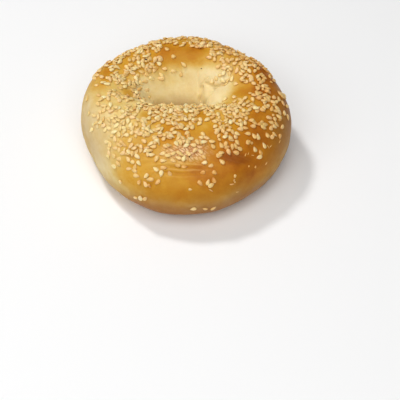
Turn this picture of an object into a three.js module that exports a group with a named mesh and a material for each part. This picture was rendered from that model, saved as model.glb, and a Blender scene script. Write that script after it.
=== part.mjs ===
// Sesame bagel, millimetres, +Z up, resting on its flat base at z = 0.
// One closed solid: a boiled and baked ring of dough. Every section through the ring is worked out from the sizes
// below: a domed top, a full side, a flat base, and a wide oval mouth that narrows down to a small oval throat.
import * as THREE from 'three';

// --- outline -------------------------------------------------------------------------------------------------
const OUT_R = 56;            // mean radius of the outline
const HEIGHT = 40;           // height of the crest over the base
const OVALNESS = [           // how the outline leaves a true circle: lobes round it, share along cos, share along sin
  [2, -0.0133, -0.0152],
  [3, 0.0009, 0.0041],
  [4, 0.0176, -0.0117],
  [5, 0.0002, 0.0065],
];
const SIDE_SWELLS = [        // swells and flats of the side: bearing deg, half width deg, mm outward
  [-70, 25, 0.25],
  [-45, 20, -0.55],
  [-133, 25, 0.2],
  [55, 20, -0.2],
  [22, 16, -1.9],            // the back is flatter than the front
  [52, 16, -2.2],
  [105, 16, -1.4],
  [128, 16, -2.0],
  [150, 16, -3.4],
  [198, 16, -1.0],
];

// --- hole ----------------------------------------------------------------------------------------------------
const HOLE_X = -3;           // axis of the hole, off the middle of the outline: the ring is fatter in front
const HOLE_Y = 12;
const THROAT = { left: 11.5, right: 12.5, back: 1.5, front: 7.5, square: 2.8 };   // narrowest part, reach each way
const CREST = { left: 39, right: 39, back: 21.5, front: 29.5, square: 3.0 };      // top line of the ring
const THROAT_HEIGHT = 0.30;  // height of the throat, as a share of the height

// --- section -------------------------------------------------------------------------------------------------
const SIDE_HEIGHT = 0.4375;  // height of the widest line of the side, as a share of the height
const FULL_TOP = 2.25;       // fullness of each quarter of the section: 2 is an ellipse, more is squarer
const FULL_MOUTH = 2.0;
const FLARE_SIDES = 0.32;    // how much flatter the mouth slopes to the left and right
const FLARE_BACK = 0.50;     // and to the back
const FULL_SIDE = 2.15;
const FULL_FOOT = 2.2;
const SINK = 5;              // how far the round of the section would pass below the base
const BASE_BLEND = 2;        // softness of the turn from the round to the flat base

// --- swells and folds of the dough, raised along the surface ---------------------------------------------------
const SWELLS = [             // middle, radii, height
  { at: [12, 13, 25], r: [3.6, 4.2, 7], up: 2.4 },       // end of the rolled dough, standing in the mouth
  { at: [16.5, 10, 29.5], r: [6, 6, 7], up: 2.2 },
  { at: [15.8, 18, 33.4], r: [6, 4.4, 5], up: 1.6 },     // the turn of dough above it
  { at: [-24, -1.5, 36], r: [8, 4, 6], up: 1.0 },        // rounded corner at the front left of the mouth
  { at: [-14, -24, 40], r: [14, 9, 20], up: 0.6 },
  { at: [20, -26, 39], r: [12, 10, 20], up: 0.5 },
];
const FOLDS = [              // line of the fold, half width, depth
  // left corner of the mouth
  { line: [[-34, 3, 38.3], [-29.5, 3.6, 35.9], [-26, 5.3, 33.3], [-22.6, 7.6, 30.1], [-19.5, 10.3, 25.4]], w: 2.4, deep: 1.3 },
  { line: [[8.9, 16, 28.4], [8.6, 14.8, 25.6], [8, 13.8, 22]], w: 1.5, deep: 1.1 },      // foot of the rolled end
  { line: [[11, 16.8, 31], [15.8, 14.4, 30.8], [20.7, 13.7, 33.6]], w: 1.5, deep: 0.9 }, // between the two turns
];

// --- fineness of the mesh --------------------------------------------------------------------------------------
const ROUND = 114;           // steps round the hole
const SECTION_STEPS = [      // end of each stretch of the section, degrees, and its number of steps
  [90, 13],                  // widest line to crest
  [180, 13],                 // crest to throat
  [231, 6],                  // throat to the edge of the flat base
  [309, 4],                  // across the flat base
  [360, 7],                  // base to the widest line
];

const RAD = Math.PI / 180;
const power = (v, p) => Math.sign(v) * Math.abs(v) ** p;
const turn = (d) => ((d + 540) % 360 + 360) % 360 - 180;

// distance from the axis of the hole to an oval with its own reach each way; square > 2 flattens its front half
function oval(ca, sa, o) {
  const n = sa < 0 ? o.square : 2;
  const x = ca < 0 ? o.left : o.right;
  const y = sa < 0 ? o.front : o.back;
  return (Math.abs(ca / x) ** n + Math.abs(sa / y) ** n) ** (-1 / n);
}

// distance from the axis of the hole to the outline
function outlineReach(ca, sa) {
  const e = HOLE_X * ca + HOLE_Y * sa;
  const q = HOLE_X * HOLE_X + HOLE_Y * HOLE_Y - OUT_R * OUT_R;
  const ro = -e + Math.sqrt(e * e - q);
  const t = Math.atan2(HOLE_Y + ro * sa, HOLE_X + ro * ca);
  let w = 1;
  for (const [n, c, s] of OVALNESS) w += c * Math.cos(n * t) + s * Math.sin(n * t);
  for (const [az, wd, mm] of SIDE_SWELLS) w += (mm / OUT_R) * Math.exp(-((turn(t / RAD - az) / wd) ** 2));
  return ro * w;
}

// a: bearing round the hole; f: angle round the section, 0 at the widest line, 90 crest, 180 throat, 270 base
function roundSurface(a, f) {
  const ca = Math.cos(a), sa = Math.sin(a);
  const ro = outlineReach(ca, sa), rc = oval(ca, sa, CREST), rw = oval(ca, sa, THROAT);
  const c = Math.cos(f), s = Math.sin(f);
  const outer = c > 0, top = s > 0;
  const mouth = FULL_MOUTH - FLARE_SIDES * ca * ca - FLARE_BACK * Math.max(sa, 0) ** 2;
  const n = top ? (outer ? FULL_TOP : mouth) : (outer ? FULL_SIDE : FULL_FOOT);
  const cx = power(c, 2 / n), cz = power(s, 2 / n);
  const zm = HEIGHT * (outer ? SIDE_HEIGHT : THROAT_HEIGHT);
  const rho = rc + (outer ? ro - rc : rc - rw) * cx;
  const z = zm + (top ? HEIGHT - zm : zm + SINK) * cz;
  return new THREE.Vector3(HOLE_X + rho * ca, HOLE_Y + rho * sa, z);
}

function roundNormal(a, f) {
  const d = 1e-3;
  const u = roundSurface(a + d, f).sub(roundSurface(a - d, f));
  const v = roundSurface(a, f + d).sub(roundSurface(a, f - d));
  return u.cross(v).normalize();
}

function distanceToLine(p, line) {
  let best = Infinity;
  for (let i = 0; i + 1 < line.length; i++) {
    const A = new THREE.Vector3(...line[i]), B = new THREE.Vector3(...line[i + 1]);
    best = Math.min(best, new THREE.Line3(A, B).closestPointToPoint(p, true, new THREE.Vector3()).distanceTo(p));
  }
  return best;
}

function doughSurface(a, f) {
  const p = roundSurface(a, f);
  let up = 0;
  for (const { at, r, up: h } of SWELLS) {
    up += h * Math.exp(-(((p.x - at[0]) / r[0]) ** 2 + ((p.y - at[1]) / r[1]) ** 2 + ((p.z - at[2]) / r[2]) ** 2));
  }
  for (const { line, w, deep } of FOLDS) up -= deep * Math.exp(-((distanceToLine(p, line) / w) ** 2));
  if (Math.abs(up) > 1e-6) p.addScaledVector(roundNormal(a, f), up);
  const k = BASE_BLEND;
  p.z = p.z > k ? p.z : p.z < -k ? 0 : (p.z + k) ** 2 / (4 * k);      // flat base
  return p;
}

function sectionAngles() {
  const out = [];
  let from = 0;
  for (const [to, steps] of SECTION_STEPS) {
    for (let i = 0; i < steps; i++) out.push((from + ((to - from) * i) / steps) * RAD);
    from = to;
  }
  return out;
}

function ringGeometry() {
  const angles = sectionAngles(), m = angles.length;
  const pos = [], idx = [];
  for (let i = 0; i < ROUND; i++) {
    for (const f of angles) {
      const p = doughSurface((i / ROUND) * 2 * Math.PI, f);
      pos.push(p.x, p.y, p.z);
    }
  }
  for (let i = 0; i < ROUND; i++) {
    const i2 = (i + 1) % ROUND;
    for (let j = 0; j < m; j++) {
      const j2 = (j + 1) % m;
      const A = i * m + j, B = i2 * m + j, C = i2 * m + j2, D = i * m + j2;
      idx.push(A, B, C, A, C, D);
    }
  }
  const g = new THREE.BufferGeometry();
  g.setAttribute('position', new THREE.Float32BufferAttribute(pos, 3));
  g.setIndex(idx);
  // the middle of the box round the ring stands over the origin
  g.computeBoundingBox();
  const b = g.boundingBox;
  g.translate(-(b.min.x + b.max.x) / 2, -(b.min.y + b.max.y) / 2, -b.min.z);
  g.computeVertexNormals();
  return g;
}

const bagel = new THREE.Mesh(ringGeometry(), new THREE.MeshStandardMaterial({ color: 0xd9a252, roughness: 0.6 }));
bagel.name = 'bagel';

const group = new THREE.Group();
group.name = 'sesame_bagel';
group.add(bagel);

export default group;
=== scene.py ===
"""Sesame bagel: the baked dough as one close-meshed piece and its sesame seeds as another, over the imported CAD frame."""

import math

import bpy
import numpy as np
from mathutils import Matrix, Vector


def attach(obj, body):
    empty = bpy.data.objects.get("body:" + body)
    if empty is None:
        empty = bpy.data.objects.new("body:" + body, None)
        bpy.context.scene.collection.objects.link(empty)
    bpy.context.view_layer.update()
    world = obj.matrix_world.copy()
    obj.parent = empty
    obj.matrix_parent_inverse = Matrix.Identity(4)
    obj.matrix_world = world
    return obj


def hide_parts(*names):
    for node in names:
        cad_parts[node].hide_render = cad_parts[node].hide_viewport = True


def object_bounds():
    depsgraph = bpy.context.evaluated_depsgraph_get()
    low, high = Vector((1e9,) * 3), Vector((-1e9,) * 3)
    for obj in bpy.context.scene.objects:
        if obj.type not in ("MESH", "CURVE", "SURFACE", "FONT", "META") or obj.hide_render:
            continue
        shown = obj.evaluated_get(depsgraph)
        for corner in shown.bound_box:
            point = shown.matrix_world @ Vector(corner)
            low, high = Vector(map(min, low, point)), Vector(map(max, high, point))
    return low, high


SEED = 4127
MM = 0.001

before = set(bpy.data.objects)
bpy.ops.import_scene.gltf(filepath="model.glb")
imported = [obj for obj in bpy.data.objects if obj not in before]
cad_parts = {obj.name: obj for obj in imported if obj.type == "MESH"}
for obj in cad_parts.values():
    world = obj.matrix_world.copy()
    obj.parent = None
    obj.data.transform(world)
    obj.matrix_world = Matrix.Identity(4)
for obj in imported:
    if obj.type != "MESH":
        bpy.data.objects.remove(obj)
BOUNDS_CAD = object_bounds()

# ----------------------------------------------------------------------------------------------------------------
# The dough: the same sizes and the same maths as the CAD solid, in millimetres
# ----------------------------------------------------------------------------------------------------------------
OUT_R = 56.0
HEIGHT = 40.0
OVALNESS = [(2, -0.0133, -0.0152), (3, 0.0009, 0.0041), (4, 0.0176, -0.0117), (5, 0.0002, 0.0065)]
SIDE_SWELLS = [
    (-70, 25, 0.25), (-45, 20, -0.55), (-133, 25, 0.2), (55, 20, -0.2),
    (22, 16, -1.9), (52, 16, -2.2), (105, 16, -1.4), (128, 16, -2.0), (150, 16, -3.4), (198, 16, -1.0),
]
HOLE_X, HOLE_Y = -3.0, 12.0
THROAT = dict(left=11.5, right=12.5, back=1.5, front=7.5, square=2.8)
CREST = dict(left=39.0, right=39.0, back=21.5, front=29.5, square=3.0)
THROAT_HEIGHT, SIDE_HEIGHT = 0.30, 0.4375
FULL_TOP, FULL_MOUTH, FLARE_SIDES, FLARE_BACK, FULL_SIDE, FULL_FOOT = 2.25, 2.0, 0.32, 0.50, 2.15, 2.2
SINK, BASE_BLEND = 5.0, 2.0
SWELLS = [
    ((12.0, 13.0, 25.0), (3.6, 4.2, 7.0), 2.4),     # end of the rolled dough, tucked into the hole on the right
    ((16.5, 10.0, 29.5), (6.0, 6.0, 7.0), 2.2),
    ((15.8, 18.0, 33.4), (6.0, 4.4, 5.0), 1.6),     # the lap above it
    ((-24.0, -1.5, 36.0), (8.0, 4.0, 6.0), 1.0),    # rounded corner at the front left of the hole
    ((-14, -24, 40), (14, 9, 20), 0.6),
    ((20, -26, 39), (12, 10, 20), 0.5),
]
FOLDS = [
    ([(-34, 3.0, 38.3), (-29.5, 3.6, 35.9), (-26, 5.3, 33.3), (-22.6, 7.6, 30.1), (-19.5, 10.3, 25.4)], 2.4, 1.3),
    ([(8.9, 16.0, 28.4), (8.6, 14.8, 25.6), (8.0, 13.8, 22.0)], 1.5, 1.1),
    ([(11.0, 16.8, 31.0), (15.8, 14.4, 30.8), (20.7, 13.7, 33.6)], 1.5, 0.9),
]


def power(v, p):
    return np.sign(v) * np.abs(v) ** p


def smooth(x, a, b):
    t = np.clip((x - a) / (b - a), 0, 1)
    return t * t * (3 - 2 * t)


def oval(ca, sa, o):
    n = np.where(sa < 0, o["square"], 2.0)
    x = np.where(ca < 0, o["left"], o["right"])
    y = np.where(sa < 0, o["front"], o["back"])
    return (np.abs(ca / x) ** n + np.abs(sa / y) ** n) ** (-1 / n)


def outline_reach(ca, sa):
    e = HOLE_X * ca + HOLE_Y * sa
    q = HOLE_X**2 + HOLE_Y**2 - OUT_R**2
    ro = -e + np.sqrt(e * e - q)
    t = np.arctan2(HOLE_Y + ro * sa, HOLE_X + ro * ca)
    w = np.ones_like(ro)
    for n, c, s in OVALNESS:
        w = w + c * np.cos(n * t) + s * np.sin(n * t)
    for az, wd, mm in SIDE_SWELLS:
        d = (np.degrees(t) - az + 540) % 360 - 180
        w = w + mm / OUT_R * np.exp(-((d / wd) ** 2))
    return ro * w


def round_surface(a, f):
    ca, sa = np.cos(a), np.sin(a)
    ro, rc, rw = outline_reach(ca, sa), oval(ca, sa, CREST), oval(ca, sa, THROAT)
    c, s = np.cos(f), np.sin(f)
    outer, top = c > 0, s > 0
    n = np.where(
        top,
        np.where(outer, FULL_TOP, FULL_MOUTH - FLARE_SIDES * ca * ca - FLARE_BACK * np.maximum(sa, 0) ** 2),
        np.where(outer, FULL_SIDE, FULL_FOOT),
    )
    cx, cz = power(c, 2 / n), power(s, 2 / n)
    zm = HEIGHT * np.where(outer, SIDE_HEIGHT, THROAT_HEIGHT)
    rho = rc + np.where(outer, ro - rc, rc - rw) * cx
    z = zm + np.where(top, HEIGHT - zm, zm + SINK) * cz
    return np.stack([HOLE_X + rho * ca, HOLE_Y + rho * sa, z], -1)


def round_normal(a, f, d=1e-3):
    u = round_surface(a + d, f) - round_surface(a - d, f)
    v = round_surface(a, f + d) - round_surface(a, f - d)
    n = np.cross(u, v)
    return n / (np.linalg.norm(n, axis=-1, keepdims=True) + 1e-12)


def distance_to_line(p, line):
    best = np.full(p.shape[:-1], 1e9)
    for A, B in zip(line[:-1], line[1:]):
        A, B = np.array(A, float), np.array(B, float)
        v = B - A
        t = np.clip(((p - A) @ v) / (v @ v), 0, 1)
        best = np.minimum(best, np.linalg.norm(p - A - t[..., None] * v, axis=-1))
    return best


def swells_and_folds(p):
    up = np.zeros(p.shape[:-1])
    for at, r, h in SWELLS:
        up += h * np.exp(-((((p - np.array(at)) / np.array(r)) ** 2).sum(-1)))
    for line, w, deep in FOLDS:
        up -= deep * np.exp(-((distance_to_line(p, line) / w) ** 2))
    return up


def flat_base(z):
    k = BASE_BLEND
    return np.where(z > k, z, np.where(z < -k, 0.0, (z + k) ** 2 / (4 * k)))


def section_angles(steps):
    out, start = [], 0.0
    for to, n in steps:
        out += [start + (to - start) * i / n for i in range(n)]
        start = to
    return np.radians(np.array(out))


# the CAD solid's own grid gives the step that stands the middle of its box over the origin
_a, _f = np.meshgrid(
    np.linspace(0, 2 * np.pi, 114, endpoint=False),
    section_angles([(90, 13), (180, 13), (231, 6), (309, 4), (360, 7)]),
    indexing="ij",
)
_p = round_surface(_a, _f)
_p = _p + round_normal(_a, _f) * swells_and_folds(_p)[..., None]
_x, _y = _p[..., 0], _p[..., 1]
SHIFT = np.array([-(_x.min() + _x.max()) / 2, -(_y.min() + _y.max()) / 2, 0.0])


# ----------------------------------------------------------------------------------------------------------------
# Fields over the surface, all from seeded numbers
# ----------------------------------------------------------------------------------------------------------------
class Waves:
    """A smooth random field: a sum of plane waves with lengths between lo and hi millimetres, about -1 to 1."""

    def __init__(self, rng, lo, hi, n=28, stretch=(1, 1, 1)):
        d = rng.normal(size=(n, 3))
        d /= np.linalg.norm(d, axis=1, keepdims=True)
        self.k = d * (2 * np.pi / rng.uniform(lo, hi, n))[:, None] / np.array(stretch)
        self.p = rng.uniform(0, 2 * np.pi, n)
        self.n = n

    def __call__(self, p):
        out = np.zeros(p.shape[:-1])
        for k, ph in zip(self.k, self.p):
            out += np.sin(p @ k + ph)
        return out / math.sqrt(self.n / 2) / 1.6


rng = np.random.default_rng(SEED)
LUMPS = Waves(rng, 24, 44)
DIMPLES = Waves(rng, 9, 16)
GRAIN = Waves(rng, 3.2, 6.0, 36)
BLOTCH = Waves(rng, 10, 22)
FLECKS = Waves(rng, 4, 8, 36)
CLUMPS = Waves(np.random.default_rng(SEED + 7), 6, 12, 36)

# fine folds of the skin: line, half width, depth
FINE_FOLDS = [
    ([(6.2, 23.2, 35.4), (6.2, 21.8, 33.5), (6.4, 19.7, 31.3), (6.7, 17.1, 28.4), (7.1, 15.4, 26.0)], 0.6, 0.35),
    ([(8.9, 16.6, 29.0), (8.9, 15.5, 27.4), (8.5, 14.6, 25.3), (8.0, 13.9, 23.0), (7.7, 13.4, 20.5)], 0.8, 0.8),
    ([(9.5, 17.7, 30.7), (12.5, 16.2, 30.8), (15.8, 14.4, 30.8), (18.2, 13.9, 32.0), (20.7, 13.7, 33.6), (22.7, 14.5, 35.5)], 0.6, 0.7),
    ([(10.1, 18.4, 31.7), (12.2, 18.9, 33.2)], 0.6, 0.4),
    ([(-31.0, 3.2, 36.8), (-26, 5.3, 33.3), (-22.6, 7.6, 30.1)], 0.8, 0.3),
    ([(-6.9, -45.0, 35.0), (-1.3, -47.1, 34.2), (3.9, -48.5, 33.2), (8.8, -48.7, 32.6)], 0.5, 0.30),
    ([(-17.5, -45.1, 33.4), (-13.5, -46.9, 33.2), (-8.5, -48.7, 32.8), (-2.8, -49.9, 32.4)], 0.5, 0.26),
    ([(-12.0, -43.0, 36.0), (-5.0, -44.3, 35.6), (2.0, -45.2, 35.0)], 0.5, 0.20),
    ([(18.9, -40.9, 34.9), (22.5, -41.4, 33.9), (27.1, -40.7, 32.7), (31.7, -39.6, 30.7)], 0.5, 0.22),
]


def relief(p, n):
    """Height over the smooth dough, in millimetres."""
    inside = smooth(30 - np.hypot(p[..., 0] - HOLE_X, p[..., 1] - HOLE_Y), 0, 14) * smooth(p[..., 2], 4, 10)
    up = 0.42 * LUMPS(p) * (1 - 0.5 * inside) + 0.11 * DIMPLES(p) + 0.03 * GRAIN(p)
    up += inside * 0.10 * DIMPLES(p * np.array([1.0, 1.0, 0.45]))
    for line, w, deep in FINE_FOLDS:
        d = distance_to_line(p, line)
        up -= deep * np.exp(-((d / w) ** 2)) - 0.35 * deep * np.exp(-(((d - 2.2 * w) / (1.4 * w)) ** 2))
    return up * smooth(p[..., 2], 0.3, 5.0)


def dough(a, f):
    """Points of the finished crust in millimetres, in the CAD frame."""
    p = round_surface(a, f)
    n = round_normal(a, f)
    p = p + n * (swells_and_folds(p) + relief(p, n))[..., None]
    p[..., 2] = flat_base(p[..., 2])
    return p + SHIFT


# small browned spots with a clear edge: middle, radii, turn about z in degrees, amount of browning added
SPOTS = [
    ((-12.0, 32.5, 39.5), (4.6, 4.4, 7), 0, 0.05),     # back of the ring, in front of the far seeds
    ((6.0, 35.0, 39.5), (5.0, 3.6, 7), 0, 0.15),
    ((-3.0, 31.5, 38.5), (13.5, 5.6, 7), 0, 0.13),
    ((30.0, 3.0, 38.4), (6.6, 4.2, 6), 0, 0.18),       # right of the mouth
    ((39.5, 1.5, 39.6), (6.0, 4.6, 6), 0, 0.13),
    ((-41.6, 15.0, 40.0), (2.8, 7.5, 7), -8, 0.20),    # left rim
    ((-45.5, 6.5, 39.4), (3.6, 3.6, 7), 0, 0.08),
    ((-30.4, 5.2, 36.2), (3.8, 2.4, 5), 0, 0.20),      # corner of the mouth
    ((8.2, -16.2, 40.2), (3.0, 3.2, 7), 0, 0.14),      # bare places in the seeded front
    ((-20.9, -15.5, 40.2), (2.8, 3.4, 7), 0, 0.15),
    ((-9.0, -24.5, 39.9), (4.0, 4.0, 7), 0, 0.14),
    ((-10.4, -31.6, 38.7), (4.2, 4.0, 7), 0, 0.10),
    ((12.0, -27.5, 39.6), (4.6, 4.0, 7), 0, 0.08),
    ((-0.4, -26.0, 39.6), (3.0, 3.0, 7), 0, 0.06),
    ((-41.3, -17.7, 37.3), (4.0, 3.0, 7), 0, 0.08),
    ((35.4, -13.5, 39.5), (3.6, 2.8, 6), 0, 0.12),
    ((26.0, -39.5, 33.9), (8.5, 3.0, 6), 8, 0.15),     # darkest, front right
    ((39.5, 17.5, 39.8), (3.4, 6.0, 7), 15, 0.20),     # right rim, towards the back
]
# broad browned and pale places, as above with softer edges; the low ones on the front are painted shade, and the paler
# wrinkled skin and right rim are painted sheen
TONES = [
    ((-9, 40, 39), (18, 11, 12), 0, 0.09),           # back of the ring
    ((-13.5, 23, 35), (8, 6, 8), 0, 0.18),           # back left edge of the mouth
    ((20, 16, 36), (8, 6, 8), 0, 0.10),              # right edge of the mouth
    ((41.5, 12, 39), (9, 14, 10), 0, 0.21),          # right rim
    ((18, 0, 33.5), (14, 20, 16), 0, -0.11),         # pale front edge of the mouth
    ((-26, -13, 40), (13, 7, 8), 0, -0.09),
    ((22, 23, 38), (9, 7, 8), 0, -0.10),             # pale right back edge of the mouth
    ((-2, 20, 32), (16, 6, 7), 0, 0.05),             # inside the mouth, under its back edge
    ((-28, 0, 36.5), (9, 14, 10), 25, -0.22),        # pale left edge of the mouth
    ((-44, -19, 35), (14, 22, 16), 0, -0.32),        # pale left of the front
    ((-44, -31, 21), (9, 14, 10), 25, -0.26),
    ((-53, -4, 31), (9, 14, 10), 0, -0.30),          # pale left side
    ((-1, -28, 39.5), (12, 8, 9), 0, 0.06),          # middle of the front
    ((1.5, -39.5, 37), (8, 6, 8), 0, -0.22),         # painted sheen: paler where the wrinkled skin shines
    # painted sheen, the left end of the same patch
    ((-8, -42, 36), (8, 4, 7), 0, -0.12),
    ((-2, -3.5, 36), (20, 5, 7), 0, -0.09),          # pale front edge of the mouth
    ((5.5, -47, 33), (9, 6, 8), 0, 0.18),            # golden fold under it
    ((-9, -57, 17), (26, 16, 16), 0, 0.12),          # painted shade, darker low on the front
    # painted shade, darker low on the front left
    ((-24, -52, 9), (20, 10, 7), -20, 0.16),
    ((44, 0, 36), (8, 10, 8), 0, 0.10),              # right rim
    ((34, -24, 38), (12, 8, 9), 25, 0.20),           # right of the front, the brownest part
    ((21.5, -39, 36), (7, 9, 8), 0, 0.12),
    ((27.5, -42.5, 31), (26, 16, 16), 0, 0.26),
    ((25, -38.5, 34.5), (11, 5.5, 8), 0, 0.08),      # round the fold at the front right
    ((5, -55, 10), (40, 10, 7), 0, 0.17),            # painted shade, darker at the foot of the front
    ((-31, -22, 40), (8, 6, 7), 0, -0.10),
    ((-46, -27, 33), (6, 6, 8), 0, -0.10),
    ((-19, -26, 40), (6, 5, 6), 0, -0.07),
    ((22, 15, 36), (6, 5, 6), 0, -0.06),
    ((15, 11, 28), (7, 6, 8), 0, 0.05),              # end of the rolled dough
    ((36, -43, 19), (13, 9, 6), 35, 0.07),           # painted shade, darker low on the right of the front
    ((51.5, -14, 30), (5, 9, 6), 0, -0.13),          # painted sheen, paler on the right rim in front
    ((39, -28, 34.5), (5, 4, 5), 0, 0.08),
    ((27, -37, 35.5), (5, 2.5, 4), 0, -0.08),
    ((37, -18, 38.5), (6, 5, 6), 0, 0.05),
]
# places turned towards the muted tan: painted shade low down, painted sheen on the right and on the wrinkled skin, and
# duller tones elsewhere
TAN_PAINTED_SHADE_AND_SHEEN = [
    ((9.5, -36.5, 38), (12, 7, 9), 10, 0.22),        # painted sheen on the wrinkled skin
    ((7.5, -49, 32), (12, 8, 9), 25, -0.25),         # golden fold
    ((25, -39, 34), (13, 8, 9), 0, -0.40),           # warm brown at the front right
    ((-12.5, -56.5, 19.5), (12, 8, 9), -25, 0.30),   # painted shade low on the front
    ((21.5, -52.5, 21.5), (26, 16, 16), 0, 0.45),    # painted shade low on the front right
    ((-43.5, -25.5, 30.5), (26, 16, 16), 0, 0.30),   # left of the front
    ((-52, -16, 20), (14, 22, 12), 20, 0.14),        # painted shade low on the left
    ((-27, -52, 11), (16, 10, 8), -20, 0.30),        # painted shade low on the front left
    ((42.5, -15, 37.5), (14, 22, 16), 0, 0.20),      # painted sheen on the right
    ((18.5, 18, 37), (26, 16, 16), 0, 0.24),         # right edge of the mouth
    ((0, 18, 30), (24, 9, 12), 0, 0.05),             # inside the mouth
    ((15, 11, 28), (7, 6, 8), 0, 0.08),
    ((52, -12, 30), (5, 9, 6), 0, 0.15),             # painted sheen on the right rim, in front
]

def patches(q, rows, edge):
    out = np.zeros(q.shape[:-1])
    for at, rad, turn, amount in rows:
        c, s = math.cos(math.radians(turn)), math.sin(math.radians(turn))
        d = q - np.array(at)
        u, v, w = d[..., 0] * c + d[..., 1] * s, d[..., 1] * c - d[..., 0] * s, d[..., 2]
        out += amount * np.exp(-(((u / rad[0]) ** 2 + (v / rad[1]) ** 2 + (w / rad[2]) ** 2) ** edge))
    return out


def toast_field(p, n):
    """Browning from 0, pale dough, to 1, dark crust."""
    q = p - SHIFT
    x, y, z = q[..., 0], q[..., 1], q[..., 2]
    up = n[..., 2]
    # the mouth of the hole stays pale: an oval about its axis, wider to the right and the left than to the back
    dx, dy = x - (HOLE_X + 1.0), y - HOLE_Y
    r = np.hypot(dx / np.where(dx > 0, 28.0, 27.0), dy / np.where(dy > 0, 15.0, 23.0))
    r = r + 0.05 * DIMPLES(q)
    mouth = 1 - smooth(r, 0.74, 1.12)
    # heat comes from above: level crust browns, steep crust stays pale; the third term, browner low on the sides, is
    # painted shade
    t = 0.16 + 0.34 * smooth(up, -0.25, 0.45) * smooth(z, 6, 22) + 0.16 * (1 - smooth(z, 8, 22))
    t += 0.14 * smooth(x, 22, 50)
    t = t * (1 - mouth) + mouth * 0.05
    t += patches(q, SPOTS, 1.6) + patches(q, TONES, 1.0)
    t += (0.035 * BLOTCH(q) + 0.025 * FLECKS(q)) * (1 - 0.6 * mouth)
    # the underside browns evenly where it lay on the oven floor
    t = np.where(z < 3, t * smooth(z, 0.5, 3) + (1 - smooth(z, 0.5, 3)) * (0.50 + 0.05 * BLOTCH(q)), t)
    return np.clip(t, 0, 1)


def dull_field(p, n):
    """How far the colour turns from warm cream towards a muted tan, 0 to 1: painted shade low on the sides, painted
    sheen and painted shade all over the right side, a duller tone on the left, and the listed patches.
    """
    q = p - SHIFT
    x, y, z = q[..., 0], q[..., 1], q[..., 2]
    # painted shade: the crust low on the sides turns tan
    low = 1 - smooth(z, 9, 26)
    # painted sheen and painted shade over the right side
    right = smooth(x, 34, 56) * (1 - smooth(z, 34, 40))
    left = smooth(-x, 34, 54) * 0.35
    front_low = low * (0.40 + 0.60 * smooth(x, -40, -10))
    d = np.maximum(np.maximum(front_low, 0.75 * right), left) + patches(q, TAN_PAINTED_SHADE_AND_SHEEN, 1.0)
    return np.clip(d + 0.05 * BLOTCH(q + 31.0), 0, 1)


def glaze_field(p):
    """Where the crust is wrinkled and shines, 0 to 1: two patches high on the front. It lowers the roughness and sets
    where the painted sheen goes.
    """
    q = p - SHIFT
    return np.clip(patches(q, [((2.5, -38.0, 37.5), (8.5, 5.0, 7.0), 8, 1.0), ((-7.5, -38.5, 37.5), (6.0, 4.0, 6.0), 0, 0.5)], 1.4), 0, 1)


def folds_field(p):
    """Where fine folds of the skin run round the ring, 0 to 1: where their creases get painted shade and their ridges a
    painted highlight.
    """
    q = p - SHIFT
    rows = [((-3.0, -45.5, 34.0), (13.0, 4.5, 6.0), 4, 1.0), ((26.0, -39.5, 33.5), (7.0, 3.0, 5.0), 0, 0.15), ((-20.0, -40.0, 36.0), (9.0, 4.0, 6.0), -15, 0.35)]
    return np.clip(patches(q, rows, 1.4), 0, 1)


# ----------------------------------------------------------------------------------------------------------------
# Dough mesh
# ----------------------------------------------------------------------------------------------------------------
def make_mesh(name, verts, faces):
    me = bpy.data.meshes.new(name)
    me.vertices.add(len(verts))
    me.vertices.foreach_set("co", np.ascontiguousarray(verts, np.float32).ravel())
    k = faces.shape[1]
    me.loops.add(faces.size)
    me.loops.foreach_set("vertex_index", np.ascontiguousarray(faces, np.int32).ravel())
    me.polygons.add(len(faces))
    me.polygons.foreach_set("loop_start", np.arange(0, faces.size, k, dtype=np.int32))
    me.update(calc_edges=True)
    me.validate()
    return me


def add_attribute(me, name, values):
    at = me.attributes.new(name, "FLOAT", "POINT")
    at.data.foreach_set("value", np.ascontiguousarray(values, np.float32).ravel())


ROUND = 600
PARTS = [(90, 52), (180, 58), (231, 14), (309, 8), (360, 28)]
angles = section_angles(PARTS)
A, F = np.meshgrid(np.linspace(0, 2 * np.pi, ROUND, endpoint=False), angles, indexing="ij")
P = dough(A, F)
du = np.roll(P, -1, 0) - np.roll(P, 1, 0)
dv = np.roll(P, -1, 1) - np.roll(P, 1, 1)
N = np.cross(du, dv)
N /= np.linalg.norm(N, axis=-1, keepdims=True) + 1e-12
m = len(angles)
i, j = np.meshgrid(np.arange(ROUND), np.arange(m), indexing="ij")
i2, j2 = (i + 1) % ROUND, (j + 1) % m
quads = np.stack([i * m + j, i2 * m + j, i2 * m + j2, i * m + j2], -1).reshape(-1, 4)
dough_me = make_mesh("dough", P.reshape(-1, 3) * MM, quads)
add_attribute(dough_me, "toast", toast_field(P, N).reshape(-1))
add_attribute(dough_me, "tan_painted_shade_and_sheen", dull_field(P, N).reshape(-1))
add_attribute(dough_me, "gloss_and_painted_sheen", glaze_field(P).reshape(-1))
add_attribute(dough_me, "folds", folds_field(P).reshape(-1))
dough_me.polygons.foreach_set("use_smooth", np.ones(len(dough_me.polygons), bool))
dough_ob = bpy.data.objects.new("bagel_dough", dough_me)
bpy.context.scene.collection.objects.link(dough_ob)


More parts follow.
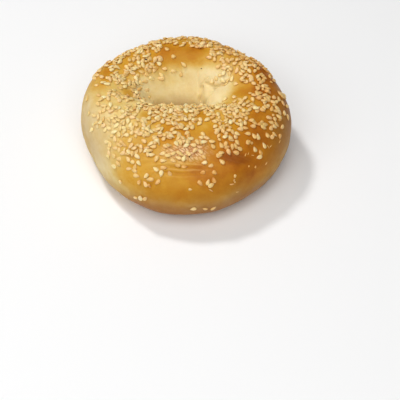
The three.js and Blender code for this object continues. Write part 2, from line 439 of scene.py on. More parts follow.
# ----------------------------------------------------------------------------------------------------------------
# Sesame seeds
# ----------------------------------------------------------------------------------------------------------------
def seed_shape(length, width, thick, point, rings=7, sides=9):
    """A flat drop lying along +X, with its point at +X; returns vertices, faces (triangles)."""
    s = -np.cos(np.linspace(0, np.pi, rings + 2))
    lo, hi = 0.50, 0.50 + 0.55 * point
    w = (1 + s) ** lo * (1 - s) ** hi
    peak = ((1 + (lo - hi) / (lo + hi)) ** lo) * ((1 - (lo - hi) / (lo + hi)) ** hi)
    w /= peak
    ang = np.linspace(0, 2 * np.pi, sides, endpoint=False)
    v = [(s[0] * length / 2, 0, 0)]
    for k in range(1, rings + 1):
        for t in ang:
            c, q = math.cos(t), math.sin(t)
            yy = math.copysign(abs(c) ** 0.85, c) * w[k] * width / 2
            zz = math.copysign(abs(q) ** 0.8, q) * w[k] ** 0.6 * thick / 2
            v.append((s[k] * length / 2, yy, zz))
    v.append((s[-1] * length / 2, 0, 0))
    f = []
    for t in range(sides):
        f.append((0, 1 + (t + 1) % sides, 1 + t))
    for k in range(rings - 1):
        for t in range(sides):
            a0, a1 = 1 + k * sides + t, 1 + k * sides + (t + 1) % sides
            b0, b1 = a0 + sides, a1 + sides
            f.append((a0, a1, b1))
            f.append((a0, b1, b0))
    last = len(v) - 1
    base = 1 + (rings - 1) * sides
    for t in range(sides):
        f.append((last, base + t, base + (t + 1) % sides))
    return np.array(v), np.array(f)


# Single seeds and small groups that stand apart: bearing round the hole, angle round the section, heading from the
# line round the ring (all in degrees), kind
APART = [
    # front left
    (233.4, 42, 33, "f"), (236.1, 43, 128, "f"), (239.1, 43, 49, "n"), (241.8, 46, 48, "n"), (242.4, 48, 153, "n"),
    (244.5, 48, 121, "n"), (243.9, 54, 36, "n"), (247.5, 48, 166, "b"), (250.8, 57, 58, "b"), (252.6, 54, 103, "n"),
    (255, 55, 27, "n"), (257.7, 52, 83, "n"), (260.4, 58, 26, "n"), (263.7, 57, 8, "n"), (266.7, 60, 38, "n"),
    (269.7, 60, 135, "n"), (269.1, 56, 162, "n"), (266.7, 53, 165, "f"), (272.1, 56, 71, "b"), (261.6, 52, 9, "f"),
    (245.4, 40, 8, "f"), (249.6, 42, 156, "b"), (247.8, 37, 106, "f"), (239.1, 29, 156, "f"), (237.9, 34, 32, "f"),
    (245.1, 31, 28, "f"), (248.1, 32, 7, "n"), (249.9, 28, 11, "n"), (258.3, 42, 155, "b"), (262.2, 45, 6, "t"),
    (261.3, 39, 92, "b"), (265.2, 41, 116, "t"), (254.4, 32, 62, "n"), (256.5, 30, 17, "n"), (252, 23, 76, "t"),
    (254.7, 23, 136, "n"), (256.8, 23, 45, "e"), (260.1, 29, 57, "t"), (241.8, 7, 93, "f"), (253.2, 3, 92, "b"),
    (250.2, -2, 49, "f"), (255.3, 4, 57, "t"), (268.8, 49, 173, "g"), (272.4, 48, 180, "g"),
    # front middle and front right
    (273.6, 67, 38, "b"), (278.1, 67, 161, "b"), (285, 68, 168, "b"), (278.4, 62, 41, "n"), (270.6, 59, 144, "n"),
    (274.5, 60, 130, "n"), (282.9, 55, 117, "n"), (281.7, 61, 113, "f"), (282.3, 50, 1, "b"), (289.8, 67, 154, "n"),
    (289.2, 63, 116, "n"), (294, 62, 91, "n"), (296.4, 61, 51, "n"), (296.7, 58, 179, "f"), (292.5, 55, 170, "n"),
    (290.7, 53, 163, "n"), (291, 47, 120, "n"), (296.1, 53, 89, "n"), (299.4, 50, 140, "n"), (299.1, 56, 62, "n"),
    (301.2, 56, 81, "n"), (303, 58, 89, "n"), (302.1, 52, 133, "n"), (308.4, 54, 43, "n"), (309.6, 53, 152, "s"),
    (285, 46, 7, "f"), (286.2, 38, 135, "t"), (285, 31, 98, "t"), (282.3, 30, 59, "b"), (283.5, 26, 18, "b"),
    (283.2, 20, 134, "h"), (279, 30, 123, "t"), (280.5, 41, 6, "g"), (294.9, 27, 57, "s"), (294, 23, 51, "c"),
    (292.8, 19.5, 168, "h"), (274.5, 24, 177, "s"),
    # low on the front
    (275.4, -2, 12, "n"), (280.2, -4, 136, "n"), (284.1, -8, 38, "f"),
    # right
    (313.2, 75, 44, "n"), (312.9, 68, 140, "n"), (317.4, 66, 144, "n"), (320.1, 68, 98, "n"), (311.4, 62, 152, "n"),
    (313.5, 56, 83, "n"), (315.6, 53, 60, "b"), (322.8, 62, 31, "n"), (321.9, 57, 115, "n"), (327.6, 55, 118, "n"),
    (325.5, 50, 17, "n"), (331.2, 38, 166, "n"), (322.8, 41, 3, "n"), (324, 41, 106, "n"), (326.4, 33, 44, "t"),
    (325, 27.5, 15, "k"), (309.9, 51, 152, "s"), (315.6, 40, 81, "b"), (318.6, 33, 6, "k"), (309.9, 43, 83, "n"),
    (312, 36, 83, "t"), (309.9, 32, 169, "b"), (306.3, 24.5, 42, "c"), (303, 29.5, 30, "c"),
    # right rim, towards the back
    (6, 87, 151, "n"), (348.9, 87, 37, "n"), (354.9, 82, 155, "n"), (353.1, 91, 53, "n"), (356.1, 103, 74, "n"),
    (357, 115, 68, "r"), (7.8, 105, 180, "b"), (11.7, 106, 108, "n"), (14.1, 87, 51, "n"), (340.8, 89, 71, "n"),
    (341.4, 82, 98, "n"), (352.8, 75, 104, "r"), (0.6, 74, 38, "n"), (358.5, 84, 175, "n"), (47.1, 103, 13, "n"),
    (39.9, 103, 109, "n"), (33.3, 101, 70, "n"), (24.9, 108, 48, "n"), (1.8, 97, 69, "n"), (342.6, 95, 93, "s"),
    # far rim, left corner of the mouth and left side
    (125.7, 121, 172, "n"), (137.7, 127, 124, "n"), (143.1, 131, 167, "n"), (105.9, 125, 177, "f"),
    (87.6, 128, 90, "f"), (83.1, 117, 137, "n"), (101.1, 106, 177, "r"), (125.1, 106, 171, "n"),
    (142.5, 120, 53, "b"), (158.7, 117, 136, "n"), (160.8, 110, 151, "n"), (163.2, 105, 88, "n"),
    (165.9, 114, 126, "n"), (156.9, 123, 129, "f"), (177.9, 120, 63, "n"), (189.3, 123, 85, "n"),
    (178.8, 132, 138, "n"), (188.7, 131, 120, "b"), (175.2, 123, 149, "n"), (178.2, 147, 147, "s"),
    (174.3, 138, 160, "f"), (167.1, 128, 157, "f"), (202.8, 42, 91, "f"), (191.7, 49, 158, "n"), (200.7, 85, 82, "b"),
    (207.6, 76, 51, "n"), (219.3, 71, 36, "n"),
    # slivers of husk and broken bits low on the right
    (305.7, 43, 30, "k"), (304, 43.5, 39, "k"), (307.5, 38, 141, "k"), (317.4, 34.5, 90, "k"), (312.6, 19, 21, "k"),
    (295, 5.5, 165, "k"), (294.3, 20.5, 114, "c"),
]

# Where the rest lie, in plan: middle x, y, radii x, y, turn in degrees, seeds per square centimetre in the middle
CLUSTERS = [
    (-21, 31, 10, 11, 30, 18),      # back left
    (-30, 27, 8, 10, 30, 13),
    (-2, 42, 20, 5, 0, 14),         # far rim
    (12, 38, 12, 6, -20, 12),
    (0, 51, 32, 5, 0, 8),           # over the back
    (-34, 38, 10, 7, 45, 7),
    (36, 38, 10, 7, -45, 7),
    (-50, 18, 4, 10, 8, 5),         # over the left side
    (50, 10, 4, 14, -8, 5),         # over the right side
    (22, 33, 10, 9, -30, 13),       # back right
    (22, 21, 9, 9, 0, 13),
    (36, 22, 9, 14, 30, 15),        # right rim
    (33, 12, 8, 4, 0, 12),
    (40, -9, 11, 13, 0, 17),        # right
    (29, -12, 9, 10, 0, 19),
    (-36, 17, 6, 14, -20, 19),      # left rim
    (-46, 17, 4, 12, -20, 13),
    (-27, 9, 5, 9, 0, 12),          # left corner of the mouth
    (-36, -3, 12, 8, 0, 8),         # left
    (-41, -14, 7, 11, 0, 13),
    (-2, -8, 26, 6, 0, 22),         # band in front of the mouth
    (-14, -14, 25, 8, 0, 24),
    (16, -15, 20, 8, 0, 17),
    (-33, -20, 16, 11, -15, 21),    # front left
    (-14, -28, 17, 9, 0, 25),       # front middle
    (1, -31, 11, 5, 0, 19),
    (20, -23, 11, 9, 0, 23),        # front right of middle
    (-26, -34, 14, 6, -15, 20),
]
# bare places: middle x, y, radii x, y, how much of the seeds it takes away
BARE = [
    (-3.5, 30.0, 12.0, 5.2, 1.0),
    (29.5, 3.5, 6.5, 4.6, 0.95),
    (-42.0, 15.0, 2.8, 7.5, 1.0),
    (-31, 4.9, 3.4, 2.2, 0.95),
    (8.2, -16.2, 3.0, 3.2, 1.0),
    (-20.9, -15.5, 2.4, 2.8, 1.0),
    (-9.0, -25.0, 3.2, 3.0, 0.9),
    (-10.5, -32.5, 3.6, 3.0, 0.9),
    (12.0, -27.5, 3.4, 2.6, 0.9),
    (-28, -6, 5, 3, 0.6),
    (1, 22, 19, 7.0, 1.0),
    (0, 10, 19.5, 9.5, 1.0),
    (0, -44, 40, 9.5, 1.0),         # the front: only the seeds placed one by one
    (34, -30, 9, 9, 0.9),
    (-52, -6, 5, 22, 0.85),         # pale left side
    (-48, -29, 7, 13, 0.9),         # and the front of it
    (35.4, -13.5, 2.6, 2.4, 1.0),
    (0, -56, 45, 8, 1.0),           # low on the front
]


def density(x, y):
    d = np.full(np.shape(x), 0.5)
    for cx, cy, rx, ry, turn, amount in CLUSTERS:
        t = math.radians(turn)
        u = (x - cx) * math.cos(t) + (y - cy) * math.sin(t)
        v = -(x - cx) * math.sin(t) + (y - cy) * math.cos(t)
        d = np.maximum(d, amount * np.exp(-(((u / rx) ** 2 + (v / ry) ** 2) ** 2.2)))
    for cx, cy, rx, ry, gone in BARE:
        d = d * (1 - gone * np.exp(-((((x - cx) / rx) ** 2 + ((y - cy) / ry) ** 2) ** 3)))
    return d


# the crust again as a fine table, to strew seeds on
NA, NF = 720, 420
TA = np.linspace(0, 2 * np.pi, NA, endpoint=False)
TF = np.linspace(math.radians(4), math.radians(172), NF)
GA, GF = np.meshgrid(TA, TF, indexing="ij")
GP = dough(GA, GF)
gu = np.roll(GP, -1, 0) - np.roll(GP, 1, 0)
gv = np.gradient(GP, axis=1)
GN = np.cross(gu, gv)
GN /= np.linalg.norm(GN, axis=-1, keepdims=True) + 1e-12
AREA = np.linalg.norm(np.cross(gu / 2, gv), axis=-1)

# kind of seed: mean length, width, thickness, paleness, browning, sunk into the crust by (all sizes in millimetres)
KINDS = {
    "n": (3.55, 2.22, 0.92, 0.50, 0.14, 0.20),      # plain
    "b": (3.62, 2.30, 0.98, 0.85, 0.04, 0.10),      # pale, lying high
    "t": (3.45, 2.14, 0.90, 0.35, 0.42, 0.20),      # toasted
    "f": (3.40, 2.08, 0.80, 0.45, 0.24, 0.40),      # sunk in the crust
    "g": (3.35, 1.95, 0.78, 0.30, 0.55, 0.40),      # sunk and golden
    "r": (2.85, 2.45, 0.98, 0.55, 0.12, 0.16),      # round
    "s": (2.20, 1.50, 0.72, 0.50, 0.20, 0.16),      # small or broken
    "h": (2.80, 0.90, 0.50, 0.55, 0.25, 0.12),      # on edge, or a husk
    "e": (3.10, 2.15, 1.00, 0.60, 0.15, -0.40),     # standing on its end
    "k": (2.10, 0.50, 0.36, 0.45, 0.36, 0.08),      # sliver of husk
    "c": (1.60, 0.90, 0.44, 0.40, 0.34, 0.10),      # broken bit
}
SHAPES = [seed_shape(1, 1, 1, pt) for pt in (0.75, 0.95, 1.2)]
# the pile of seeds may stand this high: 3% over the top of the CAD solid
PILE_TOP = BOUNDS_CAD[1][2] / MM * 1.03


class Bed:
    """The seeds laid so far. A new one leans on those below it, as far as they reach under it."""

    def __init__(self):
        self.cells, self.laid = {}, []
        self.parts = [[] for _ in range(6)]
        self.total = 0

    def near(self, pos):
        k = (pos // 4).astype(int)
        for dx in (-1, 0, 1):
            for dy in (-1, 0, 1):
                for dz in (-1, 0, 1):
                    yield from self.cells.get((k[0] + dx, k[1] + dy, k[2] + dz), ())

    def height(self, q, close):
        h = 0.0
        for o in close:
            d = q - o["pos"]
            x, y = d @ o["ex"], d @ o["ey"]
            r = (2 * x / o["L"]) ** 2 + (2 * y / o["W"]) ** 2
            if r < 1:
                h = max(h, o["lift"] + o["sx"] * x + o["sy"] * y + o["T"] / 2 * math.sqrt(1 - r))
        return h

    def lay(self, rng, pos, nrm, around, head, kind, local, gap=0.0, tallest=9.0):
        close = list(self.near(pos))
        if gap and any(np.linalg.norm(o["pos"] - pos) < gap for o in close):
            return False
        L, W, T, pale, brown, sunk = KINDS[kind]
        L, W, T = L * rng.normal(1, 0.06), W * rng.normal(1, 0.06), T * rng.normal(1, 0.07)
        e1 = around - nrm * (around @ nrm)
        e1 /= np.linalg.norm(e1)
        e2 = np.cross(nrm, e1)
        ex = e1 * math.cos(head) + e2 * math.sin(head)
        ey = np.cross(nrm, ex)
        spots = [(0.38 * L, 0), (-0.38 * L, 0), (0, 0.36 * W), (0, -0.36 * W), (0, 0)]
        hs = [self.height(pos + ex * x + ey * y, close) for x, y in spots]
        sx = np.clip((hs[0] - hs[1]) / (0.76 * L), -0.75, 0.75)
        sy = np.clip((hs[2] - hs[3]) / (0.72 * W), -0.75, 0.75)
        if max(hs) < 0.05:
            sx, sy = rng.normal(0, 0.09), rng.normal(0, 0.14)
        lift = max(h - sx * x - sy * y for h, (x, y) in zip(hs, spots)) + T * 0.5 - sunk - rng.uniform(0, 0.12)
        if max(hs) < 0.05:
            lift += abs(sx) * L * 0.30 + abs(sy) * W * 0.25
        if kind == "e":
            sx, lift = 1.9, 0.9
        if kind == "h":
            sy = 1.2
        if lift > tallest:
            return False
        # turn the seed to its slopes along and across
        fx = ex + nrm * sx
        fx /= np.linalg.norm(fx)
        fy = ey + nrm * sy
        fy -= fx * (fy @ fx)
        fy /= np.linalg.norm(fy)
        fz = np.cross(fx, fy)
        v, f = SHAPES[rng.integers(len(SHAPES))]
        bend = 0.10 * (2 * v[:, 0]) ** 2 * rng.normal(0, 1)
        w = pos + nrm * lift + (v[:, :1] * L) * fx + (v[:, 1:2] * W) * fy + (v[:, 2:3] * T + bend[:, None] * T) * fz
        if w[:, 2].max() > PILE_TOP:
            return False
        self.laid.append(dict(pos=pos, ex=ex, ey=ey, L=L, W=W, T=T, lift=lift, sx=sx, sy=sy))
        self.cells.setdefault(tuple((pos // 4).astype(int)), []).append(self.laid[-1])
        pale = np.clip(pale + rng.normal(0, 0.17), 0, 1)
        brown = brown * (0.2 + 1.6 * local) + 0.45 * max(local - 0.27, 0)
        brown += 0.22 * smooth(pos[1], 12, 30) * smooth(pos[0], 0, 18)      # browner at the back right
        brown = np.clip(brown + rng.normal(0, 0.04) + (0.2 if rng.random() < 0.05 else 0), 0, 1)
        rim = np.clip(np.hypot(v[:, 0] * 2, v[:, 1] * 2), 0, 1)
        for part, value in zip(self.parts, (w, f + self.total, np.full(len(v), pale), np.full(len(v), brown), v[:, 0] + 0.5, rim)):
            part.append(value)
        self.total += len(v)
        return True


def crust_frame(a, f):
    """Point, outward direction and the direction round the ring at one place of the crust."""
    d = 2e-3
    aa, ff = np.array([a, a + d, a - d, a, a]), np.array([f, f, f, f + d, f - d])
    p = dough(aa, ff)
    u, v = p[1] - p[2], p[3] - p[4]
    n = np.cross(u, v)
    n /= np.linalg.norm(n)
    return p[0], n, u / np.linalg.norm(u)


bed = Bed()
srng = np.random.default_rng(SEED + 1)
strew = np.random.default_rng(SEED + 5)      # for the seeds that aren't placed one by one
for a, f, head, kind in APART:
    pos, nrm, around = crust_frame(math.radians(a), math.radians(f))
    local = float(toast_field(pos[None], nrm[None])[0])
    bed.lay(srng, pos, nrm, around, math.radians(head) + (math.pi if srng.random() < 0.5 else 0), kind, local)
placed = len(bed.laid)

Q = GP - SHIFT
want = density(Q[..., 0], Q[..., 1]) * smooth(GN[..., 2], 0.12, 0.55) * np.clip(1 + 0.8 * CLUMPS(Q), 0.2, 2.0)
want = np.where(want < 0.2, 0.0, want * 1.12)       # nothing strays onto the bare wall of the mouth
weight = np.nan_to_num(want * AREA / 100.0).ravel()
expected = int(weight.sum())
browning = toast_field(GP, GN).ravel()
# on the outer slope they lie one deep, on the level top they pile up
out_x, out_y = Q[..., 0] - HOLE_X, Q[..., 1] - HOLE_Y
outward = (GN[..., 0] * out_x + GN[..., 1] * out_y) / np.hypot(out_x, out_y)
highest = (1.35 - 0.75 * smooth(outward, 0.1, 0.4)).ravel()
flat_p, flat_n, flat_u = GP.reshape(-1, 3), GN.reshape(-1, 3), gu.reshape(-1, 3)
laid = 0
# not too many draws over the number wanted, or thin places fill with what full places turn away
for s in strew.choice(weight.size, size=int(expected * 2.2), p=weight / weight.sum(), replace=True):
    if laid >= expected:
        break
    near = want.ravel()[s]
    gap = 1.2 if near > 9 else 1.8 if near > 5 else 2.6
    kind = "n" if strew.random() < 0.55 else str(strew.choice(["b", "t", "f", "r", "s", "h", "g"], p=[0.42, 0.10, 0.20, 0.10, 0.08, 0.04, 0.06]))
    laid += bed.lay(strew, flat_p[s], flat_n[s], flat_u[s], strew.uniform(0, 2 * math.pi), kind, browning[s], gap, highest[s])
verts, faces, shade, toasted, along, rim = bed.parts
seed_me = make_mesh("seeds", np.concatenate(verts) * MM, np.concatenate(faces))
add_attribute(seed_me, "shade", np.concatenate(shade))
add_attribute(seed_me, "toasted", np.concatenate(toasted))
add_attribute(seed_me, "along", np.concatenate(along))
add_attribute(seed_me, "rim", np.concatenate(rim))
seed_me.polygons.foreach_set("use_smooth", np.ones(len(seed_me.polygons), bool))
seed_ob = bpy.data.objects.new("bagel_sesame", seed_me)
bpy.context.scene.collection.objects.link(seed_ob)
print("seeds", len(bed.laid), "placed one by one", placed, "strewn", laid, "of", expected, "seed triangles", len(seed_me.polygons), "dough quads", len(dough_me.polygons))


# ----------------------------------------------------------------------------------------------------------------
# Dark specks, standing on the crust
# ----------------------------------------------------------------------------------------------------------------
# bearing round the hole, angle round the section, length, width, height (mm), heading
SPECKS = [
    (141.3, 104.7, 1.5, 0.9, 0.7, 150),
    (46.2, 119.5, 0.8, 0.5, 0.4, 60),
    (217.2, 55.1, 0.8, 0.5, 0.4, 20),
    (253.5, 56.5, 0.8, 0.6, 0.4, 100),
    (275.1, 57.1, 0.8, 0.5, 0.4, 0),
]


def speck_shape(rng, sides=9, rings=5):
    v, f = [(0, 0, -1.0)], []
    for k in range(1, rings):
        t = math.pi * k / rings
        for n in range(sides):
            r = math.sin(t) * rng.uniform(0.8, 1.15)
            v.append((r * math.cos(2 * math.pi * n / sides), r * math.sin(2 * math.pi * n / sides), -math.cos(t)))
    v.append((0, 0, 1.0))
    for n in range(sides):
        n2 = (n + 1) % sides
        f.append((0, 1 + n2, 1 + n))
        for k in range(rings - 2):
            a0, a1 = 1 + k * sides + n, 1 + k * sides + n2
            f += [(a0, a1, a1 + sides), (a0, a1 + sides, a0 + sides)]
        f.append((len(v) - 1, 1 + (rings - 2) * sides + n, 1 + (rings - 2) * sides + n2))
    return np.array(v), np.array(f)


speck_v, speck_f, count = [], [], 0
for a, f, length, width, high, head in SPECKS:
    pos, nrm, around = crust_frame(math.radians(a), math.radians(f))
    side = np.cross(nrm, around)
    c, s = math.cos(math.radians(head)), math.sin(math.radians(head))
    ex, ey = around * c + side * s, side * c - around * s
    v, tri = speck_shape(srng)
    rest = bed.height(pos, list(bed.near(pos)))
    w = pos + nrm * (rest + high * 0.2) + v[:, :1] * length / 2 * ex + v[:, 1:2] * width / 2 * ey + v[:, 2:3] * high / 2 * nrm
    w[:, 2] -= max(w[:, 2].max() - PILE_TOP, 0)
    speck_v.append(w)
    speck_f.append(tri + count)
    count += len(v)
speck_me = make_mesh("specks", np.concatenate(speck_v) * MM, np.concatenate(speck_f))
speck_me.polygons.foreach_set("use_smooth", np.ones(len(speck_me.polygons), bool))
speck_ob = bpy.data.objects.new("bagel_specks", speck_me)
bpy.context.scene.collection.objects.link(speck_ob)


# ----------------------------------------------------------------------------------------------------------------
# Materials
# ----------------------------------------------------------------------------------------------------------------
def srgb(r, g, b):
    def lin(c):
        c /= 255.0
        return c / 12.92 if c <= 0.04045 else ((c + 0.055) / 1.055) ** 2.4

    return (lin(r), lin(g), lin(b), 1.0)


class Graph:
    def __init__(self, name):
        self.mat = bpy.data.materials.new(name)
        self.mat.use_nodes = True
        self.nt = self.mat.node_tree
        self.nt.nodes.clear()
        self.out = self.add("ShaderNodeOutputMaterial")
        self.co = self.add("ShaderNodeTexCoord")

    def add(self, kind, **props):
        n = self.nt.nodes.new(kind)
        for k, v in props.items():
            setattr(n, k, v)
        return n

    def link(self, a, b):
        self.nt.links.new(a, b)

    def value(self, socket, v):
        if hasattr(v, "links") or isinstance(v, bpy.types.NodeSocket):
            self.link(v, socket)
        else:
            socket.default_value = v

    def math(self, op, a, b=0.0, clamp=False):
        n = self.add("ShaderNodeMath", operation=op, use_clamp=clamp)
        self.value(n.inputs[0], a)
        self.value(n.inputs[1], b)
        return n.outputs[0]

    def noise(self, scale, detail=3.0, rough=0.5, stretch=None, distortion=0.0):
        n = self.add("ShaderNodeTexNoise")
        n.inputs["Scale"].default_value = scale
        n.inputs["Detail"].default_value = detail
        n.inputs["Roughness"].default_value = rough
        n.inputs["Distortion"].default_value = distortion
        if stretch:
            mp = self.add("ShaderNodeMapping")
            mp.inputs["Scale"].default_value = stretch
            self.link(self.co.outputs["Object"], mp.inputs["Vector"])
            self.link(mp.outputs[0], n.inputs["Vector"])
        else:
            self.link(self.co.outputs["Object"], n.inputs["Vector"])
        return n.outputs["Fac"]

    def cells(self, scale, heading, stretch, waver):
        """1 on the lines between irregular cells, 0 inside them; long along the heading, and the lines waver."""
        n = self.add("ShaderNodeTexNoise")
        n.inputs["Scale"].default_value = scale * 0.6
        self.link(self.co.outputs["Object"], n.inputs["Vector"])
        off = self.add("ShaderNodeVectorMath", operation="MULTIPLY_ADD")
        self.link(n.outputs["Color"], off.inputs[0])
        off.inputs[1].default_value = (waver, waver, waver)
        self.link(self.co.outputs["Object"], off.inputs[2])
        turned = self.add("ShaderNodeVectorRotate", rotation_type="Z_AXIS")
        turned.inputs["Angle"].default_value = math.radians(heading)
        self.link(off.outputs[0], turned.inputs["Vector"])
        mp = self.add("ShaderNodeMapping")
        mp.inputs["Scale"].default_value = stretch
        self.link(turned.outputs[0], mp.inputs["Vector"])
        v = self.add("ShaderNodeTexVoronoi", feature="DISTANCE_TO_EDGE")
        v.inputs["Scale"].default_value = scale
        self.link(mp.outputs[0], v.inputs["Vector"])
        return self.remap(v.outputs["Distance"], 0.02, 0.24, 1.0, 0.0)

    def attribute(self, name):
        n = self.add("ShaderNodeAttribute", attribute_name=name)
        return n.outputs["Fac"]

    def ramp(self, fac, stops, interp="LINEAR"):
        n = self.add("ShaderNodeValToRGB")
        n.color_ramp.interpolation = interp
        el = n.color_ramp.elements
        while len(el) > 1:
            el.remove(el[-1])
        el[0].position, el[0].color = stops[0]
        for pos, col in stops[1:]:
            e = el.new(pos)
            e.color = col
        self.link(fac, n.inputs["Fac"])
        return n.outputs["Color"]

    def mix(self, fac, a, b, blend="MIX"):
        n = self.add("ShaderNodeMix", data_type="RGBA", blend_type=blend)
        self.value(n.inputs[0], fac)
        self.value(n.inputs[6], a)
        self.value(n.inputs[7], b)
        return n.outputs[2]

    def remap(self, v, a, b, c=0.0, d=1.0):
        n = self.add("ShaderNodeMapRange")
        n.inputs["From Min"].default_value = a
        n.inputs["From Max"].default_value = b
        n.inputs["To Min"].default_value = c
        n.inputs["To Max"].default_value = d
        self.link(v, n.inputs["Value"])
        return n.outputs[0]


def crust_material():
    g = Graph("crust")
    t = g.attribute("toast")
    mottle = g.noise(260, 4, 0.6)
    fine = g.noise(900, 3, 0.6)
    t = g.math("ADD", t, g.remap(mottle, 0.25, 0.75, -0.055, 0.055))
    t = g.math("ADD", t, g.remap(fine, 0.25, 0.75, -0.03, 0.03), clamp=True)
    cream = g.ramp(
        t,
        [
            (0.00, srgb(247, 230, 178)),
            (0.14, srgb(238, 214, 149)),
            (0.28, srgb(229, 196, 114)),
            (0.42, srgb(218, 171, 74)),
            (0.56, srgb(206, 148, 37)),
            (0.70, srgb(196, 129, 27)),
            (0.84, srgb(180, 107, 22)),
            (1.00, srgb(150, 81, 18)),
        ],
    )
    tan = g.ramp(
        t,
        [
            (0.00, srgb(196, 162, 112)),
            (0.30, srgb(178, 134, 80)),
            (0.55, srgb(166, 112, 50)),
            (0.80, srgb(150, 90, 26)),
            (1.00, srgb(132, 70, 14)),
        ],
    )
    col = g.mix(g.attribute("tan_painted_shade_and_sheen"), cream, tan)
    # the wrinkled patch: painted sheen turns it paler and pinker, and its fine creases are painted darker as shade
    gloss_and_painted_sheen = g.attribute("gloss_and_painted_sheen")
    crease = g.cells(430, 35, (0.75, 1.8, 1.2), 0.0020)
    painted_sheen_colour = g.mix(crease, srgb(246, 208, 162), srgb(180, 112, 58))
    col = g.mix(g.math("MULTIPLY", gloss_and_painted_sheen, 0.88), col, painted_sheen_colour)
    # a few fine folds of the skin running round the ring below it: their creases are painted darker as shade and their
    # ridges paler as a painted highlight
    wave = g.add("ShaderNodeTexWave", wave_type="BANDS", bands_direction="Y", wave_profile="SIN")
    wave.inputs["Scale"].default_value = 105.0
    wave.inputs["Distortion"].default_value = 3.4
    wave.inputs["Detail"].default_value = 2.0
    wave.inputs["Detail Scale"].default_value = 0.7
    g.link(g.co.outputs["Object"], wave.inputs["Vector"])
    folds = g.attribute("folds")
    line = g.math("MULTIPLY", g.remap(wave.outputs["Fac"], 0.0, 0.28, 1.0, 0.0), folds)
    ridge_painted_highlight = g.math("MULTIPLY", g.remap(wave.outputs["Fac"], 0.72, 1.0, 0.0, 1.0), folds)
    col = g.mix(g.math("MULTIPLY", line, 0.22), col, srgb(168, 100, 30))
    col = g.mix(g.math("MULTIPLY", ridge_painted_highlight, 0.38), col, srgb(240, 194, 112))
    bsdf = g.add("ShaderNodeBsdfPrincipled")
    g.link(col, bsdf.inputs["Base Color"])
    rough = g.math("ADD", g.remap(t, 0.1, 0.8, 0.62, 0.42), g.remap(mottle, 0.3, 0.7, -0.05, 0.05))
    rough = g.math("SUBTRACT", rough, g.math("MULTIPLY", gloss_and_painted_sheen, 0.14))
    g.link(rough, bsdf.inputs["Roughness"])
    bsdf.inputs["Specular IOR Level"].default_value = 0.15
    bsdf.inputs["Subsurface Weight"].default_value = 0.12
    bsdf.inputs["Subsurface Radius"].default_value = (1.0, 0.55, 0.25)
    bsdf.inputs["Subsurface Scale"].default_value = 0.002
    bump = g.add("ShaderNodeBump")
    bump.inputs["Strength"].default_value = 0.5
    bump.inputs["Distance"].default_value = 0.00035
    h = g.math("ADD", g.math("MULTIPLY", g.noise(420, 3, 0.55), 0.7), g.math("MULTIPLY", g.noise(1600, 2, 0.5), 0.3))
    h = g.math("SUBTRACT", h, g.math("MULTIPLY", g.math("MULTIPLY", crease, gloss_and_painted_sheen), 1.4))
    h = g.math("SUBTRACT", h, g.math("MULTIPLY", line, 1.6))
    g.link(h, bump.inputs["Height"])
    g.link(bump.outputs[0], bsdf.inputs["Normal"])
    g.link(bsdf.outputs[0], g.out.inputs["Surface"])
    return g.mat


def seed_material():
    g = Graph("sesame")
    shade, toasted, along = g.attribute("shade"), g.attribute("toasted"), g.attribute("along")
    n = g.noise(1400, 3, 0.6)
    base = g.ramp(shade, [(0.0, srgb(232, 194, 120)), (0.44, srgb(243, 210, 140)), (0.52, srgb(248, 211, 154)), (0.60, srgb(247, 216, 146)), (1.0, srgb(252, 231, 174))])
    brown = g.ramp(along, [(0.0, srgb(228, 172, 90)), (0.6, srgb(222, 160, 74)), (1.0, srgb(184, 112, 42))])
    # the pointed end and the rim turn browner: toasting at the tip, and at the rim toasting together with painted shade
    # round each seed
    edge = g.math("ADD", g.remap(along, 0.72, 1.0, 0.0, 0.30), g.remap(g.attribute("rim"), 0.78, 1.0, 0.0, 0.30))
    fac = g.math("ADD", toasted, g.math("MULTIPLY", edge, g.remap(toasted, 0.0, 0.25, 0.35, 1.2)), clamp=True)
    fac = g.math("ADD", fac, g.remap(n, 0.3, 0.7, -0.08, 0.08), clamp=True)
    col = g.mix(fac, base, brown)
    bsdf = g.add("ShaderNodeBsdfPrincipled")
    g.link(col, bsdf.inputs["Base Color"])
    bsdf.inputs["Roughness"].default_value = 0.42
    bsdf.inputs["Specular IOR Level"].default_value = 0.45
    bsdf.inputs["Subsurface Weight"].default_value = 0.45
    bsdf.inputs["Subsurface Radius"].default_value = (1.0, 0.8, 0.5)
    bsdf.inputs["Subsurface Scale"].default_value = 0.0012
    bump = g.add("ShaderNodeBump")
    bump.inputs["Strength"].default_value = 0.25
    bump.inputs["Distance"].default_value = 0.0001
    g.link(n, bump.inputs["Height"])
    g.link(bump.outputs[0], bsdf.inputs["Normal"])
    g.link(bsdf.outputs[0], g.out.inputs["Surface"])
    return g.mat


def speck_material():
    g = Graph("dark_speck")
    n = g.noise(2600, 3, 0.6)
    bsdf = g.add("ShaderNodeBsdfPrincipled")
    g.link(g.ramp(n, [(0.3, srgb(38, 24, 14)), (0.7, srgb(84, 52, 26))]), bsdf.inputs["Base Color"])
    bsdf.inputs["Roughness"].default_value = 0.6
    bsdf.inputs["Specular IOR Level"].default_value = 0.3
    bump = g.add("ShaderNodeBump")
    bump.inputs["Strength"].default_value = 0.4
    bump.inputs["Distance"].default_value = 0.0001
    g.link(n, bump.inputs["Height"])
    g.link(bump.outputs[0], bsdf.inputs["Normal"])
    g.link(bsdf.outputs[0], g.out.inputs["Surface"])
    return g.mat


dough_me.materials.append(crust_material())
speck_me.materials.append(speck_material())
seed_me.materials.append(seed_material())

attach(dough_ob, "root")
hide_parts("bagel")
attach(seed_ob, "root")
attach(speck_ob, "root")

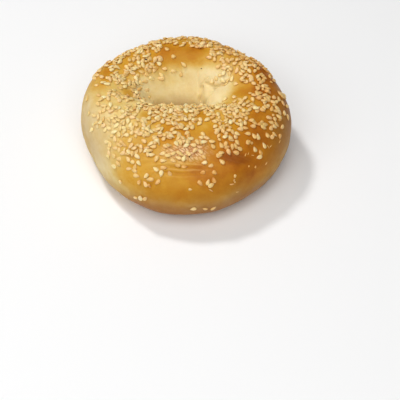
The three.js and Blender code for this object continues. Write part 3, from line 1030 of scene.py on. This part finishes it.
# ----------------------------------------------------------------------------------------------------------------
# Stage, lights, camera
# ----------------------------------------------------------------------------------------------------------------
bpy.ops.mesh.primitive_plane_add(size=6, location=(0, 0, 0))
floor = bpy.context.object
floor.name = "floor"
fg = Graph("floor")
fb = fg.add("ShaderNodeBsdfPrincipled")
fb.inputs["Base Color"].default_value = (0.94, 0.94, 0.94, 1)
fb.inputs["Roughness"].default_value = 0.9
fb.inputs["Specular IOR Level"].default_value = 0.1
fg.link(fb.outputs[0], fg.out.inputs["Surface"])
floor.data.materials.append(fg.mat)

world = bpy.data.worlds.new("world")
bpy.context.scene.world = world
world.use_nodes = True
bg = world.node_tree.nodes["Background"]
bg.inputs["Color"].default_value = (1.0, 1.0, 1.0, 1)
bg.inputs["Strength"].default_value = 0.14


def area_light(name, bearing, height, distance, size, power_w, colour=(1, 1, 1)):
    """A round soft light: bearing about z and height above the floor in degrees, distance and size in metres."""
    d = bpy.data.lights.new(name, "AREA")
    d.shape = "DISK"
    d.size = size
    d.energy = power_w
    d.color = colour
    o = bpy.data.objects.new(name, d)
    bpy.context.scene.collection.objects.link(o)
    b, h = math.radians(bearing), math.radians(height)
    at = Vector((math.cos(b) * math.cos(h), math.sin(b) * math.cos(h), math.sin(h))) * distance
    o.location = at
    o.rotation_mode = "QUATERNION"
    o.rotation_quaternion = (Vector((0, 0, 0.02)) - at).to_track_quat("-Z", "Y")
    return o


area_light("key", 138, 60, 1.3, 0.20, 6.2)
area_light("front_panel", 270, 58, 1.3, 1.3, 8.8)
area_light("left_panel", 222, 42, 1.3, 0.9, 3.2)
area_light("overhead", 268, 79, 1.3, 0.40, 1.2)

# camera: elevation, distance, focal length in pixels of a 400-pixel frame, and where the middle of the bagel falls
ELEV, DIST, FOCAL, AT_U, AT_V = math.radians(46), 600.0, 1120.8, 185.86, 123.37
target = SHIFT + np.array([0, 0, 18.0])
back = np.array([0, -math.cos(ELEV), math.sin(ELEV)])
right = np.array([1.0, 0, 0])
upv = np.cross(back, right)
aim = np.array([(AT_U - 200) / FOCAL, -(AT_V - 200) / FOCAL, 1.0])
aim /= np.linalg.norm(aim)
axis = np.cross([0, 0, 1.0], aim)
K = np.array([[0, -axis[2], axis[1]], [axis[2], 0, -axis[0]], [-axis[1], axis[0], 0]])
turn = np.eye(3) + K + K @ K / (1 + aim[2])
rows = turn @ np.stack([right, upv, -back])
rot = Matrix([list(r) for r in np.stack([rows[0], rows[1], -rows[2]]).T])
cam_data = bpy.data.cameras.new("camera")
cam = bpy.data.objects.new("camera", cam_data)
bpy.context.scene.collection.objects.link(cam)
cam_data.sensor_width = 36.0
cam_data.lens = FOCAL / 400.0 * 36.0
cam_data.clip_start, cam_data.clip_end = 0.01, 20.0
cam.matrix_world = Matrix.Translation(Vector((target + back * DIST) * MM)) @ rot.to_4x4()
bpy.context.scene.camera = cam

bpy.context.scene.view_settings.view_transform = "Standard"
bpy.context.scene.view_settings.look = "None"
